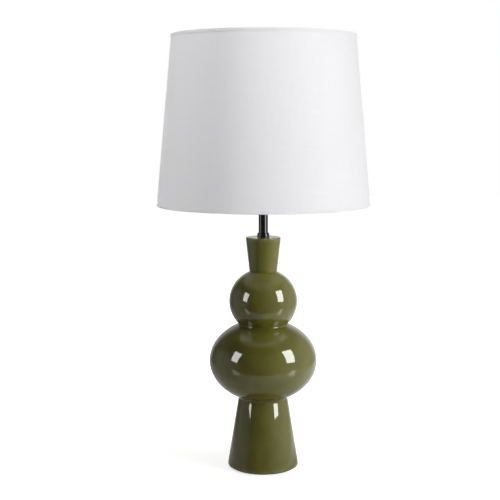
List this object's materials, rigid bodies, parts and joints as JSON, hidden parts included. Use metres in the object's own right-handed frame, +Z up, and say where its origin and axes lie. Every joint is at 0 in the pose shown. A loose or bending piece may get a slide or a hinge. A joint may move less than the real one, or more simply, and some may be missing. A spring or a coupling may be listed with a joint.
{
  "type": "table lamp",
  "caption": "Table lamp: a one-piece turned ceramic base in glossy olive glaze, a black neck tube and a tapered white fabric drum shade on a screw lampholder with its bulb.",
  "frame": {"origin": "centre of the underside of the felt foot, where the lamp stands", "axes": "+Z up along the lamp's turning axis, +Y towards the back, where the cord inlet is, +X to the right as seen from the front"},
  "size_m": [0.35, 0.35, 0.7152],
  "materials": {
    "felt": "pressed wool felt, dark",
    "olive_glaze": "glossy olive green glaze",
    "black_rubber": "moulded black rubber",
    "zinc_steel": "zinc plated steel",
    "black_metal": "gloss black lacquer on steel",
    "black_phenolic": "moulded black phenolic",
    "porcelain": "unglazed white porcelain",
    "holder_brass": "drawn brass",
    "shade_fabric": "plain woven white fabric",
    "shade_liner_film": "stiff white lining film",
    "rim_tape": "white fabric tape",
    "white_wire": "white epoxy coated steel wire",
    "bulb_metal": "nickel plated screw cap",
    "bulb_black_glass": "black glass insulator",
    "bulb_white": "white moulded plastic",
    "bulb_opal": "opal diffusing plastic"
  },
  "bodies": {
    "base": {"foot_pad": "felt", "ceramic_body": "olive_glaze", "cord_bushing": "black_rubber", "tie_rod": "zinc_steel", "cushion_washer": "black_rubber", "clamp_washer": "zinc_steel", "lock_washer": "zinc_steel", "rod_nut": "zinc_steel", "neck_collar": "black_metal", "neck_tube": "black_metal", "holder_cap": "black_phenolic", "cap_locking_screw": "zinc_steel", "contact_block": "porcelain", "terminal_clamps": "holder_brass", "terminal_screws": "zinc_steel", "screw_shell": "holder_brass", "centre_contact": "holder_brass", "holder_sleeve": "black_phenolic"},
    "shade": {"shade_cover": "shade_fabric", "shade_liner": "shade_liner_film", "top_rim_tape": "rim_tape", "bottom_rim_tape": "rim_tape", "top_wire_ring": "white_wire", "bottom_wire_ring": "white_wire", "spider_spokes": "white_wire", "gallery_ring": "white_wire"},
    "shade_ring": {"shade_ring": "black_phenolic"},
    "bulb_foot": {"bulb_contact": "bulb_metal", "bulb_insulator": "bulb_black_glass"},
    "bulb": {"bulb_cap": "bulb_metal", "bulb_housing": "bulb_white", "bulb_globe": "bulb_opal"}
  },
  "joints": [
    {"name": "shade_turn", "type": "hinge", "parent": "base", "child": "shade", "pos_m": [0, 0, 0.46553], "axis": [0, 0, 1], "continuous": true},
    {"name": "shade_ring_turn", "type": "hinge", "parent": "base", "child": "shade_ring", "pos_m": [0, 0, 0.46734], "axis": [0, 0, 1], "range_deg": [0, 720]},
    {"name": "bulb_rise", "type": "slide", "parent": "base", "child": "bulb_foot", "axis": [0, 0, 1], "range_m": [0, 0.01452]},
    {"name": "bulb_turn", "type": "hinge", "parent": "bulb_foot", "child": "bulb", "pos_m": [0, 0, 0.46054], "axis": [0, 0, 1], "range_deg": [0, 1440]}
  ],
  "couplings": [
    {"joint": "bulb_rise", "follows": "bulb_turn", "m_per_rad": 0.00057757}
  ]
}
